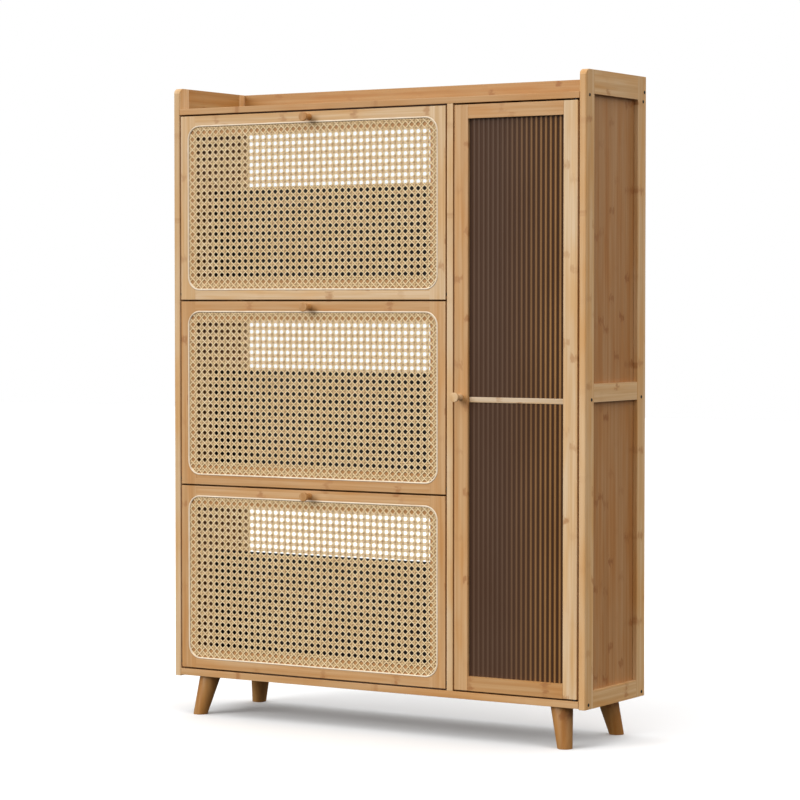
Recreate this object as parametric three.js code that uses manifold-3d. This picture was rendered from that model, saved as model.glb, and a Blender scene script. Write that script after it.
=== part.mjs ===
// Bamboo shoe cabinet on four splayed legs. On the left three tip-out fronts with cane
// webbing, each carrying a shoe rack, turn on pins at their lower corners. On the right a
// tall narrow door with fluted panels turns on pins at its top and bottom.
// Millimetres, +Z up, +X to the right, front towards -Y. The finished group's origin is on
// the floor, at the middle of the overall box.
import * as THREE from 'three';
import { mergeVertices } from 'three/addons/utils/BufferGeometryUtils.js';
import Module from 'manifold-3d';

const wasm = await Module();
wasm.setup();

// ---- driving dimensions ----
// overall
const cabinetWidth = 857;
const cabinetDepth = 220;
const sideHeight = 1080; // side frames, above their underside
const sideRise = 70; // floor to the underside of the side frames
const revealGap = 3; // open joint round each front and the door
const fitGap = 0.05; // glue line between seated pieces
const runGap = 0.2; // round a pin that turns, on the radius

// side frames
const sideThickness = 13;
const sideStile = 30;
const sideTopRail = 41;
const sideMidRail = 31;
const sideMidRailCentre = 535; // above the side frame's underside
const sideBottomRail = 30;
const sidePanelThickness = 3.5;
const sidePanelRecess = 8; // outer face of the frame to the panel
const tongueDepth = 6; // tongues of rails and panels in their grooves
const stileRound = 2.5; // rounded front edges of the front stiles
const cornerRound = 12; // rounded upper front corner of the sides

// boards between the sides
const bottomBoard = 12;
const bottomBoardRaise = 2; // above the side frames' underside
const topBoard = 11;
const galleryHeight = 38; // sides and back rail above the top board
const galleryThickness = 12;
const partitionThickness = 12;
const shelfThickness = 12;
const shelfCentre = 524; // above the side frame's underside
const shelfSetback = 17; // behind the front plane
const rearRailHeight = 40;
const rearRailThickness = 12;
const rearRailInset = 2; // in from the back
const backPanelThickness = 5;
const backPanelInset = 7; // in from the back
const backPanelTongue = 5;

// legs
const legTopDiameter = 39;
const legFootDiameter = 26;
const legInsetX = 60; // top centre, in from the outer faces
const legInsetY = 29; // top centre, in from front and back
const legSplay = 14; // how far the foot stands out in X and in Y
const footChamfer = 1.5;

// tip-out fronts
const frontThickness = 12;
const caneMarginSide = 15; // front's edge to the outside of the spline
const caneMarginEnd = 17;
const caneCornerRadius = 26;
const caneRecess = 2.2;
const caneThickness = 1.5;
const splineWidth = 3.2;
const splineProud = 0.9;
const openingMarginSide = 32;
const openingMarginEnd = 35.5;
const openingRadius = 10;

// shoe racks behind the fronts
const rackSideGap = 3;
const rackFloorThickness = 8;
const rackFloorHeight = 24; // underside above the front's lower edge
const rackBackClearance = 34; // behind the floor, up to the rear rails
const rackDividerThickness = 8;
const rackDividerSetback = 88; // clear space behind the front
const rackDividerTop = 208; // above the front's lower edge

// door
const doorWidth = 241;
const doorThickness = 12;
const doorStile = 27;
const doorTopRail = 24;
const doorBottomRail = 25.5;
const doorMidBar = 9.4;
const doorMidBarDrop = 1.9; // bar's middle below the door's middle
const doorMidBarProud = 1; // bar's face in front of the flutes' crests
const doorTongue = 5;
const panelRecess = 6.2; // door face to the crests of the flutes
const panelBase = 2.6;
const fluteDepth = 1.2;
const flutePitch = 9.3;

// pivot pins and knobs
const pinDiameter = 6;
const pinInMover = 14;
const pinInCarcass = 8;
const pivotHeight = 10; // flip axis above the front's lower edge
const knobLength = 22;
const knobDiameter = 16.6;
const knobNeckDiameter = 9.5;
const knobBaseDiameter = 12;
const knobDrop = 10; // knob axis below the front's upper edge
const doorKnobInset = 12; // knob axis in from the door's free edge
const doorKnobHeight = 525; // above the side frame's underside

// ---- places worked out from them, from the side frames' lower left front corner ----
const rightSideX = cabinetWidth - sideThickness;
const floorTop = bottomBoardRaise + bottomBoard;
const topBoardTop = sideHeight - galleryHeight;
const ceiling = topBoardTop - topBoard;
const doorX = rightSideX - revealGap - doorWidth;
const partitionX = doorX - revealGap - partitionThickness;
const frontX = sideThickness + revealGap;
const frontWidth = partitionX - revealGap - frontX;
const frontCount = 3;
const frontHeight = (ceiling - floorTop - (frontCount + 1) * revealGap) / frontCount;
const frontStep = frontHeight + revealGap;
const doorHeight = ceiling - floorTop - 2 * revealGap;
const doorZ = floorTop + revealGap;
const rearRailY = cabinetDepth - rearRailInset - rearRailThickness;
const backPanelY = cabinetDepth - backPanelInset - backPanelThickness;
const flipPivotY = frontThickness / 2;
const doorPivotInset = doorThickness / 2;
const pinRadius = pinDiameter / 2;
const holeRadius = pinRadius + runGap;
const arcSteps = 6;

// ---- materials ----
function material(color, roughness) {
  return new THREE.MeshStandardMaterial({ color, roughness, metalness: 0 });
}
const bamboo = material(0xd2ac7b, 0.5);
const bambooPanel = material(0xa3794b, 0.55);
const bambooDark = material(0xa5784b, 0.5);
const rackBoard = material(0x2a1c14, 0.6);
const caneWeave = material(0xe1be8c, 0.6);
const caneSpline = material(0xf0e1c8, 0.5);
const flutedPanel = material(0x6e5032, 0.25);
const steel = material(0x9a9a98, 0.35);
steel.metalness = 1;

// ---- solids ----
const alongY = new THREE.Matrix4().makeBasis(
  new THREE.Vector3(1, 0, 0),
  new THREE.Vector3(0, 0, 1),
  new THREE.Vector3(0, -1, 0),
);
const alongX = new THREE.Matrix4().makeBasis(
  new THREE.Vector3(0, 1, 0),
  new THREE.Vector3(0, 0, 1),
  new THREE.Vector3(1, 0, 0),
);

function toSolid(geometry) {
  const bare = geometry.index ? geometry.toNonIndexed() : geometry.clone();
  bare.deleteAttribute('normal');
  bare.deleteAttribute('uv');
  const merged = mergeVertices(bare, 1e-4);
  return new wasm.Manifold(new wasm.Mesh({
    numProp: 3,
    vertProperties: new Float32Array(merged.attributes.position.array),
    triVerts: new Uint32Array(merged.index.array),
  }));
}

function toGeometry(solid) {
  const mesh = solid.getMesh();
  const geometry = new THREE.BufferGeometry();
  geometry.setAttribute('position', new THREE.BufferAttribute(mesh.vertProperties, 3));
  geometry.setIndex(new THREE.BufferAttribute(mesh.triVerts, 1));
  geometry.computeVertexNormals();
  return geometry;
}

// a box between two corners
function block([x0, y0, z0], [x1, y1, z1]) {
  const geometry = new THREE.BoxGeometry(x1 - x0, y1 - y0, z1 - z0);
  geometry.translate((x0 + x1) / 2, (y0 + y1) / 2, (z0 + z1) / 2);
  return toSolid(geometry);
}

function extrude(shape, depth) {
  return new THREE.ExtrudeGeometry(shape, {
    depth,
    bevelEnabled: false,
    curveSegments: arcSteps,
  });
}

// an outline drawn in X and Z, filled from y0 to y1
function plateXZ(shape, y0, y1) {
  const geometry = extrude(shape, y1 - y0);
  geometry.applyMatrix4(alongY);
  geometry.translate(0, y1, 0);
  return toSolid(geometry);
}

// an outline drawn in Y and Z, filled from x0 to x1
function plateYZ(shape, x0, x1) {
  const geometry = extrude(shape, x1 - x0);
  geometry.applyMatrix4(alongX);
  geometry.translate(x0, 0, 0);
  return toSolid(geometry);
}

// an outline drawn in X and Y, filled from z0 to z1
function plateXY(shape, z0, z1) {
  const geometry = extrude(shape, z1 - z0);
  geometry.translate(0, 0, z0);
  return toSolid(geometry);
}

// a round bar between two points on one axis
function bar(radius, from, to, segments) {
  const start = new THREE.Vector3(...from);
  const end = new THREE.Vector3(...to);
  const geometry = new THREE.CylinderGeometry(radius, radius, start.distanceTo(end), segments);
  const direction = end.clone().sub(start).normalize();
  const turn = new THREE.Quaternion().setFromUnitVectors(new THREE.Vector3(0, 1, 0), direction);
  geometry.applyQuaternion(turn);
  const middle = start.clone().add(end).multiplyScalar(0.5);
  geometry.translate(middle.x, middle.y, middle.z);
  return toSolid(geometry);
}

function pinSolid(from, to) {
  return bar(pinRadius, from, to, 16);
}

function holeSolid(from, to) {
  return bar(holeRadius, from, to, 24);
}

// a rectangle with round corners
function roundedRectangle(x0, z0, x1, z1, radius) {
  const shape = new THREE.Shape();
  shape.moveTo(x0 + radius, z0);
  shape.lineTo(x1 - radius, z0);
  shape.absarc(x1 - radius, z0 + radius, radius, -Math.PI / 2, 0, false);
  shape.lineTo(x1, z1 - radius);
  shape.absarc(x1 - radius, z1 - radius, radius, 0, Math.PI / 2, false);
  shape.lineTo(x0 + radius, z1);
  shape.absarc(x0 + radius, z1 - radius, radius, Math.PI / 2, Math.PI, false);
  shape.lineTo(x0, z0 + radius);
  shape.absarc(x0 + radius, z0 + radius, radius, Math.PI, 1.5 * Math.PI, false);
  return shape;
}

function addPiece(group, name, solid, finish) {
  const mesh = new THREE.Mesh(toGeometry(solid), finish);
  mesh.name = name;
  group.add(mesh);
}

// ---- side frames: two stiles, three rails, two panels in grooves ----
const railY0 = sideStile + fitGap;
const railY1 = cabinetDepth - sideStile - fitGap;
const tongueY0 = sideStile - tongueDepth;
const tongueY1 = cabinetDepth - sideStile + tongueDepth;
const midRailBottom = sideMidRailCentre - sideMidRail / 2;
const midRailTop = sideMidRailCentre + sideMidRail / 2;
const topRailBottom = sideHeight - sideTopRail;

// the front stile's outline seen from the side, with its upper corner rounded
function frontStileOutline() {
  const shape = new THREE.Shape();
  shape.moveTo(0, 0);
  shape.lineTo(sideStile, 0);
  shape.lineTo(sideStile, sideHeight);
  shape.lineTo(cornerRound, sideHeight);
  shape.absarc(cornerRound, sideHeight - cornerRound, cornerRound, Math.PI / 2, Math.PI, false);
  return shape;
}

// the front stile's section, with both front edges rounded
function frontStileSection() {
  const shape = new THREE.Shape();
  shape.moveTo(stileRound, 0);
  shape.lineTo(sideThickness - stileRound, 0);
  shape.absarc(sideThickness - stileRound, stileRound, stileRound, -Math.PI / 2, 0, false);
  shape.lineTo(sideThickness, sideStile);
  shape.lineTo(0, sideStile);
  shape.lineTo(0, stileRound);
  shape.absarc(stileRound, stileRound, stileRound, Math.PI, 1.5 * Math.PI, false);
  return shape;
}

// the groove that holds rail tongues and panels, from y0 to y1 and z0 to z1
function panelGroove(panelX0, y0, y1, z0, z1) {
  return block(
    [panelX0 - fitGap, y0, z0],
    [panelX0 + sidePanelThickness + fitGap, y1, z1],
  );
}

function sideRail(panelX0, z0, z1, grooveBelow, grooveAbove) {
  let rail = block([0, railY0, z0], [sideThickness, railY1, z1]);
  const tongueX1 = panelX0 + sidePanelThickness;
  rail = rail.add(block([panelX0, tongueY0 + fitGap, z0], [tongueX1, tongueY1 - fitGap, z1]));
  if (grooveBelow) {
    const groove = panelGroove(panelX0, tongueY0 - 1, tongueY1 + 1, z0 - 1, z0 + tongueDepth);
    rail = rail.subtract(groove);
  }
  if (grooveAbove) {
    const groove = panelGroove(panelX0, tongueY0 - 1, tongueY1 + 1, z1 - tongueDepth, z1 + 1);
    rail = rail.subtract(groove);
  }
  return rail;
}

function sidePanel(panelX0, z0, z1) {
  return block(
    [panelX0, tongueY0 + fitGap, z0 - tongueDepth + fitGap],
    [panelX0 + sidePanelThickness, tongueY1 - fitGap, z1 + tongueDepth - fitGap],
  );
}

function addSideFrame(parent, side, x) {
  const frame = new THREE.Group();
  frame.position.x = x;
  const panelX0 = side === 'left'
    ? sidePanelRecess
    : sideThickness - sidePanelRecess - sidePanelThickness;
  const tall = plateYZ(frontStileOutline(), 0, sideThickness);
  let frontStile = plateXY(frontStileSection(), 0, sideHeight).intersect(tall);
  const frontGroove = panelGroove(panelX0, tongueY0, sideStile + 1, -1, sideHeight + 1);
  frontStile = frontStile.subtract(frontGroove);
  let rearStile = block(
    [0, cabinetDepth - sideStile, 0],
    [sideThickness, cabinetDepth, sideHeight],
  );
  const rearGrooveY0 = cabinetDepth - sideStile - 1;
  rearStile = rearStile.subtract(panelGroove(panelX0, rearGrooveY0, tongueY1, -1, sideHeight + 1));
  if (side === 'left') {
    for (let i = 0; i < frontCount; i += 1) {
      const z = floorTop + revealGap + i * frontStep + pivotHeight;
      const start = [sideThickness - pinInCarcass - runGap, flipPivotY, z];
      frontStile = frontStile.subtract(holeSolid(start, [sideThickness + 1, flipPivotY, z]));
    }
  } else {
    rearStile = rearStile.subtract(backPanelSlot(-x));
  }
  addPiece(frame, `${side}_front_stile`, frontStile, bamboo);
  addPiece(frame, `${side}_rear_stile`, rearStile, bamboo);
  const topRail = sideRail(panelX0, topRailBottom, sideHeight, true, false);
  const midRail = sideRail(panelX0, midRailBottom, midRailTop, true, true);
  const bottomRail = sideRail(panelX0, 0, sideBottomRail, false, true);
  const upperPanel = sidePanel(panelX0, midRailTop, topRailBottom);
  const lowerPanel = sidePanel(panelX0, sideBottomRail, midRailBottom);
  addPiece(frame, `${side}_top_rail`, topRail, bamboo);
  addPiece(frame, `${side}_mid_rail`, midRail, bamboo);
  addPiece(frame, `${side}_bottom_rail`, bottomRail, bamboo);
  addPiece(frame, `${side}_upper_panel`, upperPanel, bambooPanel);
  addPiece(frame, `${side}_lower_panel`, lowerPanel, bambooPanel);
  parent.add(frame);
}

// ---- boards, partition, shelf and back ----
const innerX0 = sideThickness + fitGap;
const innerX1 = rightSideX - fitGap;
const doorSectionX0 = partitionX + partitionThickness;

// the closed back of the door section, with its tongues; grown makes its slot
function backPanelBlock(grown, shiftX) {
  return block(
    [
      doorSectionX0 - backPanelTongue - grown + shiftX,
      backPanelY - grown,
      floorTop - backPanelTongue - grown,
    ],
    [
      rightSideX + backPanelTongue + grown + shiftX,
      backPanelY + backPanelThickness + grown,
      ceiling + backPanelTongue + grown,
    ],
  );
}

function backPanelSlot(shiftX = 0) {
  return backPanelBlock(fitGap, shiftX);
}

function addCarcass(parent) {
  const doorPivotX = doorX + doorWidth - doorPivotInset;
  const holeTop = [doorPivotX, doorPivotInset, ceiling + pinInCarcass + runGap];
  const holeBottom = [doorPivotX, doorPivotInset, floorTop - pinInCarcass - runGap];
  let bottom = block([innerX0, 0, bottomBoardRaise], [innerX1, cabinetDepth, floorTop]);
  bottom = bottom.subtract(holeSolid(holeBottom, [doorPivotX, doorPivotInset, floorTop + 1]));
  bottom = bottom.subtract(backPanelSlot());
  let top = block([innerX0, 0, ceiling], [innerX1, cabinetDepth, topBoardTop]);
  top = top.subtract(holeSolid([doorPivotX, doorPivotInset, ceiling - 1], holeTop));
  top = top.subtract(backPanelSlot());
  let partition = block(
    [partitionX, 0, floorTop + fitGap],
    [partitionX + partitionThickness, cabinetDepth, ceiling - fitGap],
  );
  partition = partition.subtract(backPanelSlot());
  for (let i = 0; i < frontCount; i += 1) {
    const z = floorTop + revealGap + i * frontStep + pivotHeight;
    const end = [partitionX + pinInCarcass + runGap, flipPivotY, z];
    partition = partition.subtract(holeSolid([partitionX - 1, flipPivotY, z], end));
  }
  const gallery = block(
    [innerX0, cabinetDepth - galleryThickness, topBoardTop + fitGap],
    [innerX1, cabinetDepth, sideHeight],
  );
  const shelf = block(
    [doorSectionX0 + fitGap, shelfSetback, shelfCentre - shelfThickness / 2],
    [innerX1, backPanelY - fitGap, shelfCentre + shelfThickness / 2],
  );
  addPiece(parent, 'bottom_board', bottom, bamboo);
  addPiece(parent, 'top_board', top, bamboo);
  addPiece(parent, 'partition', partition, bamboo);
  addPiece(parent, 'gallery_rail', gallery, bamboo);
  addPiece(parent, 'mid_shelf', shelf, bamboo);
  addPiece(parent, 'door_section_back', backPanelBlock(0, 0), bambooPanel);
  ['lower', 'upper'].forEach((level, i) => {
    const z = floorTop + revealGap / 2 + (i + 1) * frontStep;
    const rail = block(
      [innerX0, rearRailY, z - rearRailHeight / 2],
      [partitionX - fitGap, rearRailY + rearRailThickness, z + rearRailHeight / 2],
    );
    addPiece(parent, `${level}_rear_rail`, rail, bamboo);
  });
}

// ---- legs: round tapers, leaning outwards, cut level at both ends ----
function legSolid(leanX, leanY) {
  const height = sideRise + bottomBoardRaise - fitGap;
  const footRadius = legFootDiameter / 2;
  const profile = [
    new THREE.Vector2(0, 0),
    new THREE.Vector2(footRadius - footChamfer, 0),
    new THREE.Vector2(footRadius, footChamfer),
    new THREE.Vector2(legTopDiameter / 2, height),
    new THREE.Vector2(0, height),
  ];
  const geometry = new THREE.LatheGeometry(profile, 24);
  geometry.rotateX(Math.PI / 2);
  const slopeX = -leanX / height;
  const slopeY = -leanY / height;
  const lean = new THREE.Matrix4().set(
    1, 0, slopeX, leanX,
    0, 1, slopeY, leanY,
    0, 0, 1, -sideRise,
    0, 0, 0, 1,
  );
  geometry.applyMatrix4(lean);
  return toSolid(geometry);
}

function addLegs(parent) {
  for (const [sideName, x, outX] of [
    ['left', legInsetX, -1],
    ['right', cabinetWidth - legInsetX, 1],
  ]) {
    for (const [endName, y, outY] of [
      ['front', legInsetY, -1],
      ['rear', cabinetDepth - legInsetY, 1],
    ]) {
      const leg = legSolid(outX * legSplay, outY * legSplay).translate([x, y, 0]);
      addPiece(parent, `${endName}_${sideName}_leg`, leg, bambooDark);
    }
  }
}

// ---- knobs: turned, with a flat round head ----
function knobSolid(x, z) {
  const base = knobBaseDiameter / 2;
  const neck = knobNeckDiameter / 2;
  const head = knobDiameter / 2;
  const profile = [
    new THREE.Vector2(0, fitGap),
    new THREE.Vector2(base, fitGap),
    new THREE.Vector2(base - 0.4, knobLength * 0.12),
    new THREE.Vector2(neck, knobLength * 0.36),
    new THREE.Vector2(head - 0.9, knobLength * 0.72),
    new THREE.Vector2(head, knobLength * 0.82),
    new THREE.Vector2(head, knobLength - 0.9),
    new THREE.Vector2(head - 0.9, knobLength),
    new THREE.Vector2(0, knobLength),
  ];
  const geometry = new THREE.LatheGeometry(profile, 20);
  geometry.rotateX(Math.PI);
  geometry.translate(x, 0, z);
  return toSolid(geometry);
}

// ---- tip-out fronts, in their own frame from the front's lower left corner ----
function caneOutline(inset) {
  return roundedRectangle(
    caneMarginSide + inset,
    caneMarginEnd + inset,
    frontWidth - caneMarginSide - inset,
    frontHeight - caneMarginEnd - inset,
    caneCornerRadius - inset,
  );
}

function frontFrame() {
  const opening = roundedRectangle(
    openingMarginSide,
    openingMarginEnd,
    frontWidth - openingMarginSide,
    frontHeight - openingMarginEnd,
    openingRadius,
  );
  let frame = block([0, 0, 0], [frontWidth, frontThickness, frontHeight]);
  frame = frame.subtract(plateXZ(opening, -1, frontThickness + 1));
  frame = frame.subtract(plateXZ(caneOutline(0), -1, caneRecess));
  for (const [from, to] of frontPins()) {
    frame = frame.subtract(holeSolid(from, to));
  }
  return frame;
}

// where the two pivot pins lie, from their outer to their inner ends
function frontPins() {
  const outside = revealGap + pinInCarcass;
  return [
    [[-outside, flipPivotY, pivotHeight], [pinInMover, flipPivotY, pivotHeight]],
    [
      [frontWidth + outside, flipPivotY, pivotHeight],
      [frontWidth - pinInMover, flipPivotY, pivotHeight],
    ],
  ];
}

function splineRing() {
  const ring = plateXZ(caneOutline(fitGap), -splineProud, caneRecess - fitGap);
  return ring.subtract(plateXZ(caneOutline(splineWidth), -splineProud - 1, caneRecess + 1));
}

function addTipOutFront(parent, level, z) {
  const front = new THREE.Group();
  front.position.set(frontX, 0, z);
  const caneFace = caneRecess - caneThickness;
  const cane = plateXZ(caneOutline(splineWidth + fitGap), caneFace, caneRecess - fitGap);
  const rackX0 = rackSideGap;
  const rackX1 = frontWidth - rackSideGap;
  const rackBack = rearRailY - rackBackClearance;
  const floorTopZ = rackFloorHeight + rackFloorThickness;
  const dividerY = frontThickness + rackDividerSetback;
  const rackFloor = block(
    [rackX0, frontThickness + fitGap, rackFloorHeight],
    [rackX1, rackBack, floorTopZ],
  );
  const rackDivider = block(
    [rackX0, dividerY, floorTopZ + fitGap],
    [rackX1, dividerY + rackDividerThickness, rackDividerTop],
  );
  addPiece(front, `${level}_front_frame`, frontFrame(), bamboo);
  addPiece(front, `${level}_cane_panel`, cane, caneWeave);
  addPiece(front, `${level}_cane_spline`, splineRing(), caneSpline);
  addPiece(front, `${level}_knob`, knobSolid(frontWidth / 2, frontHeight - knobDrop), bamboo);
  addPiece(front, `${level}_rack_floor`, rackFloor, rackBoard);
  addPiece(front, `${level}_rack_divider`, rackDivider, rackBoard);
  frontPins().forEach(([from, to], i) => {
    const side = i === 0 ? 'left' : 'right';
    const seated = to[0] + (i === 0 ? -runGap : runGap);
    const pin = pinSolid(from, [seated, to[1], to[2]]);
    addPiece(front, `${level}_${side}_pivot_pin`, pin, steel);
  });
  parent.add(front);
}

// ---- door, in its own frame from the door's lower left corner ----
const grooveY0 = panelRecess - fitGap;
const grooveY1 = panelRecess + fluteDepth + panelBase + fitGap;

function doorGroove(x0, x1, z0, z1) {
  return block([x0, grooveY0, z0], [x1, grooveY1, z1]);
}

function doorRail(z0, z1, grooveZ0, grooveZ1) {
  const x0 = doorStile + fitGap;
  const x1 = doorWidth - doorStile - fitGap;
  const rail = block([x0, 0, z0], [x1, doorThickness, z1]);
  const tongue = block(
    [x0 - doorTongue, grooveY0 + fitGap, z0],
    [x1 + doorTongue, grooveY1 - fitGap, z1],
  );
  return rail.add(tongue).subtract(doorGroove(0, doorWidth, grooveZ0, grooveZ1));
}

// a panel's section: a flat back and a row of convex flutes in front
function flutedSection() {
  const x0 = doorStile - doorTongue + fitGap;
  const x1 = doorWidth - doorStile + doorTongue - fitGap;
  const back = panelRecess + fluteDepth + panelBase;
  const count = Math.round((x1 - x0) / flutePitch);
  const pitch = (x1 - x0) / count;
  const steps = 4;
  const shape = new THREE.Shape();
  shape.moveTo(x1, back);
  shape.lineTo(x0, back);
  for (let i = 0; i <= count * steps; i += 1) {
    const across = (i % steps) / steps;
    const crest = Math.sin(Math.PI * across);
    shape.lineTo(x0 + (i * pitch) / steps, panelRecess + fluteDepth * (1 - crest));
  }
  return shape;
}

function addDoor(parent) {
  const door = new THREE.Group();
  door.position.set(doorX, 0, doorZ);
  const barZ0 = doorHeight / 2 - doorMidBarDrop - doorMidBar / 2;
  const barZ1 = barZ0 + doorMidBar;
  const pivotX = doorWidth - doorPivotInset;
  const outside = revealGap + pinInCarcass;
  const pins = [
    ['lower', [pivotX, doorPivotInset, -outside], [pivotX, doorPivotInset, pinInMover]],
    [
      'upper',
      [pivotX, doorPivotInset, doorHeight + outside],
      [pivotX, doorPivotInset, doorHeight - pinInMover],
    ],
  ];
  let freeStile = block([0, 0, 0], [doorStile, doorThickness, doorHeight]);
  const grooveEnd = doorStile - doorTongue;
  freeStile = freeStile.subtract(doorGroove(grooveEnd, doorStile + 1, -1, doorHeight + 1));
  const hingeX = doorWidth - doorStile;
  let hingeStile = block([hingeX, 0, 0], [doorWidth, doorThickness, doorHeight]);
  const hingeGroove = doorGroove(hingeX - 1, hingeX + doorTongue, -1, doorHeight + 1);
  hingeStile = hingeStile.subtract(hingeGroove);
  for (const [, from, to] of pins) {
    hingeStile = hingeStile.subtract(holeSolid(from, to));
  }
  const upperInner = doorHeight - doorTopRail;
  const lowerRail = doorRail(0, doorBottomRail, doorBottomRail - doorTongue, doorBottomRail + 1);
  const upperRail = doorRail(upperInner, doorHeight, upperInner - 1, upperInner + doorTongue);
  const barTongue = block(
    [doorStile - doorTongue + fitGap, grooveY0 + fitGap, barZ0],
    [doorWidth - doorStile + doorTongue - fitGap, grooveY1 - fitGap, barZ1],
  );
  const barFace = block(
    [doorStile + fitGap, panelRecess - doorMidBarProud, barZ0],
    [doorWidth - doorStile - fitGap, grooveY1 + 1, barZ1],
  );
  const lowerPanel = plateXY(
    flutedSection(),
    doorBottomRail - doorTongue + fitGap,
    barZ0 - fitGap,
  );
  const upperPanel = plateXY(
    flutedSection(),
    barZ1 + fitGap,
    upperInner + doorTongue - fitGap,
  );
  addPiece(door, 'door_free_stile', freeStile, bamboo);
  addPiece(door, 'door_hinge_stile', hingeStile, bamboo);
  addPiece(door, 'door_bottom_rail', lowerRail, bamboo);
  addPiece(door, 'door_top_rail', upperRail, bamboo);
  addPiece(door, 'door_mid_bar', barTongue.add(barFace), bamboo);
  addPiece(door, 'door_lower_fluted_panel', lowerPanel, flutedPanel);
  addPiece(door, 'door_upper_fluted_panel', upperPanel, flutedPanel);
  addPiece(door, 'door_knob', knobSolid(doorKnobInset, doorKnobHeight - doorZ), bamboo);
  for (const [level, from, to] of pins) {
    const seated = to[2] + (level === 'lower' ? -runGap : runGap);
    const pin = pinSolid(from, [to[0], to[1], seated]);
    addPiece(door, `door_${level}_pivot_pin`, pin, steel);
  }
  parent.add(door);
}

// ---- the cabinet ----
const cabinet = new THREE.Group();
cabinet.position.set(-cabinetWidth / 2, -(cabinetDepth - knobLength) / 2, sideRise);
addSideFrame(cabinet, 'left', 0);
addSideFrame(cabinet, 'right', rightSideX);
addCarcass(cabinet);
addLegs(cabinet);
['lower', 'middle', 'upper'].forEach((level, i) => {
  addTipOutFront(cabinet, level, floorTop + revealGap + i * frontStep);
});
addDoor(cabinet);

const shoeCabinet = new THREE.Group();
shoeCabinet.add(cabinet);

export default shoeCabinet;
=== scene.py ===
"""Looks of a bamboo shoe cabinet with three tip-out cane fronts and a door with fluted panels.

The CAD model is the frame. Its boards and bars stay, with eased edges and bamboo grain; the
cane webbing, reed splines, knobs, legs and fluted panels are replaced by finer pieces.
Lengths are metres; MM turns millimetres into metres.
"""
import math

import bpy
import numpy as np
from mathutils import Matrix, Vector


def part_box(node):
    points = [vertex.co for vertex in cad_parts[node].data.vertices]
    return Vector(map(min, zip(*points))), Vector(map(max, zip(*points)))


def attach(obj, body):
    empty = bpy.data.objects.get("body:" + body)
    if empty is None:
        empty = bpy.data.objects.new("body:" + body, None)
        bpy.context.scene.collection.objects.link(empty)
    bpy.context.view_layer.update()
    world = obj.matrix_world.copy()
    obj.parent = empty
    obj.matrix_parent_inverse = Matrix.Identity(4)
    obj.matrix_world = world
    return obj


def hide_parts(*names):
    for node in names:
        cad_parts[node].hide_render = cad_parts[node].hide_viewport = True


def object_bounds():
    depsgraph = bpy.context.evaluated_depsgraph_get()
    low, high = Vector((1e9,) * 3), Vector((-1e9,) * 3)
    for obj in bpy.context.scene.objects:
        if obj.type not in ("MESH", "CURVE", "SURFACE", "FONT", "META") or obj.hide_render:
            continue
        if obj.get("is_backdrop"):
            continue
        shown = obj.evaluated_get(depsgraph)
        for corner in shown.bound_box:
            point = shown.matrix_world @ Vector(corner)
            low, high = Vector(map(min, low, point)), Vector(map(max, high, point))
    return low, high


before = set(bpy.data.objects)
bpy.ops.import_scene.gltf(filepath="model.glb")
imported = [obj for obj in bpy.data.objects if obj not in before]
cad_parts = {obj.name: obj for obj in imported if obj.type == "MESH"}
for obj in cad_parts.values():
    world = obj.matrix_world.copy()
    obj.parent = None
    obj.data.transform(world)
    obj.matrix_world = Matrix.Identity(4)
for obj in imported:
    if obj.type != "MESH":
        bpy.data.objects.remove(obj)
cad_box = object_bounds()

MM = 0.001
LEVELS = ("lower", "middle", "upper")
SIDES = ("left", "right")

# ---- camera and light ----
VIEW_AZIMUTH = math.radians(31.99)
VIEW_PITCH = math.radians(2.01)
CAMERA_PLACE = Vector((2.6582, -4.2568, 0.7597))
LENS = 126.2
SKY_HIGH = 1.3  # strength of the sky's light overhead
SKY_LOW = 0.06  # and from below
SKY_RISE_LOW = -0.1  # height of a ray's heading where the sky starts to brighten
SKY_RISE_HIGH = 0.6  # and where it is at its full strength
BACKDROP_STRENGTH = 1.0  # what the camera sees of the world: plain white
KEY_HEADING = (math.radians(-28), math.radians(19))  # round from the front, up from level
KEY_STRENGTH = 1.7
KEY_SPREAD = math.radians(34)
FILL_HEADING = (math.radians(78), math.radians(20))
FILL_STRENGTH = 0.5
FILL_SPREAD = math.radians(40)
SUN_DISTANCE = 5.0
FLOOR_HALF = 12.0

# ---- cane webbing, measured from each front's lower left corner ----
SPLINE_INSET_SIDE = 15 * MM
SPLINE_INSET_END = 17 * MM
SPLINE_CORNER = 26 * MM
SPLINE_RADIUS = 1.6 * MM
CANE_PITCH_X = 13.1 * MM
CANE_PITCH_Z = 12.37 * MM
CANE_COLUMNS = 40
CANE_ROWS = 23
CANE_SHIFT = Vector((-2.1, 0, 1.5)) * MM  # middle of the grid from the front's middle
FRONT_STILE = 32 * MM  # upright grain at the two ends of a front
STRAND_WIDTH_UPRIGHT = 2.5 * MM
STRAND_WIDTH_LEVEL = 2.35 * MM
STRAND_WIDTH_DIAGONAL = 2.0 * MM
STRAND_GAP = 0.4 * MM  # between the two strands of a pair
STRAND_THICKNESS = 0.42 * MM
DIAGONAL_LIFT = 0.26 * MM  # a diagonal's rise and fall over the pairs
DIAGONAL_PROUD = 0.34 * MM  # how far the diagonals lie in front of the pairs on the whole
PAIR_LIFT = 0.22 * MM  # a strand's rise and fall where the pairs cross
SEARCH_REACH = 0.42  # how far from its middle a strand may end
SEARCH_STEP = 0.25 * MM
SEARCH_LEAST = 4  # a strand no longer than this many steps is left out
END_CLEARANCE = 0.05  # shortest stretch between a strand's end and a crossing, in crossings

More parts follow.
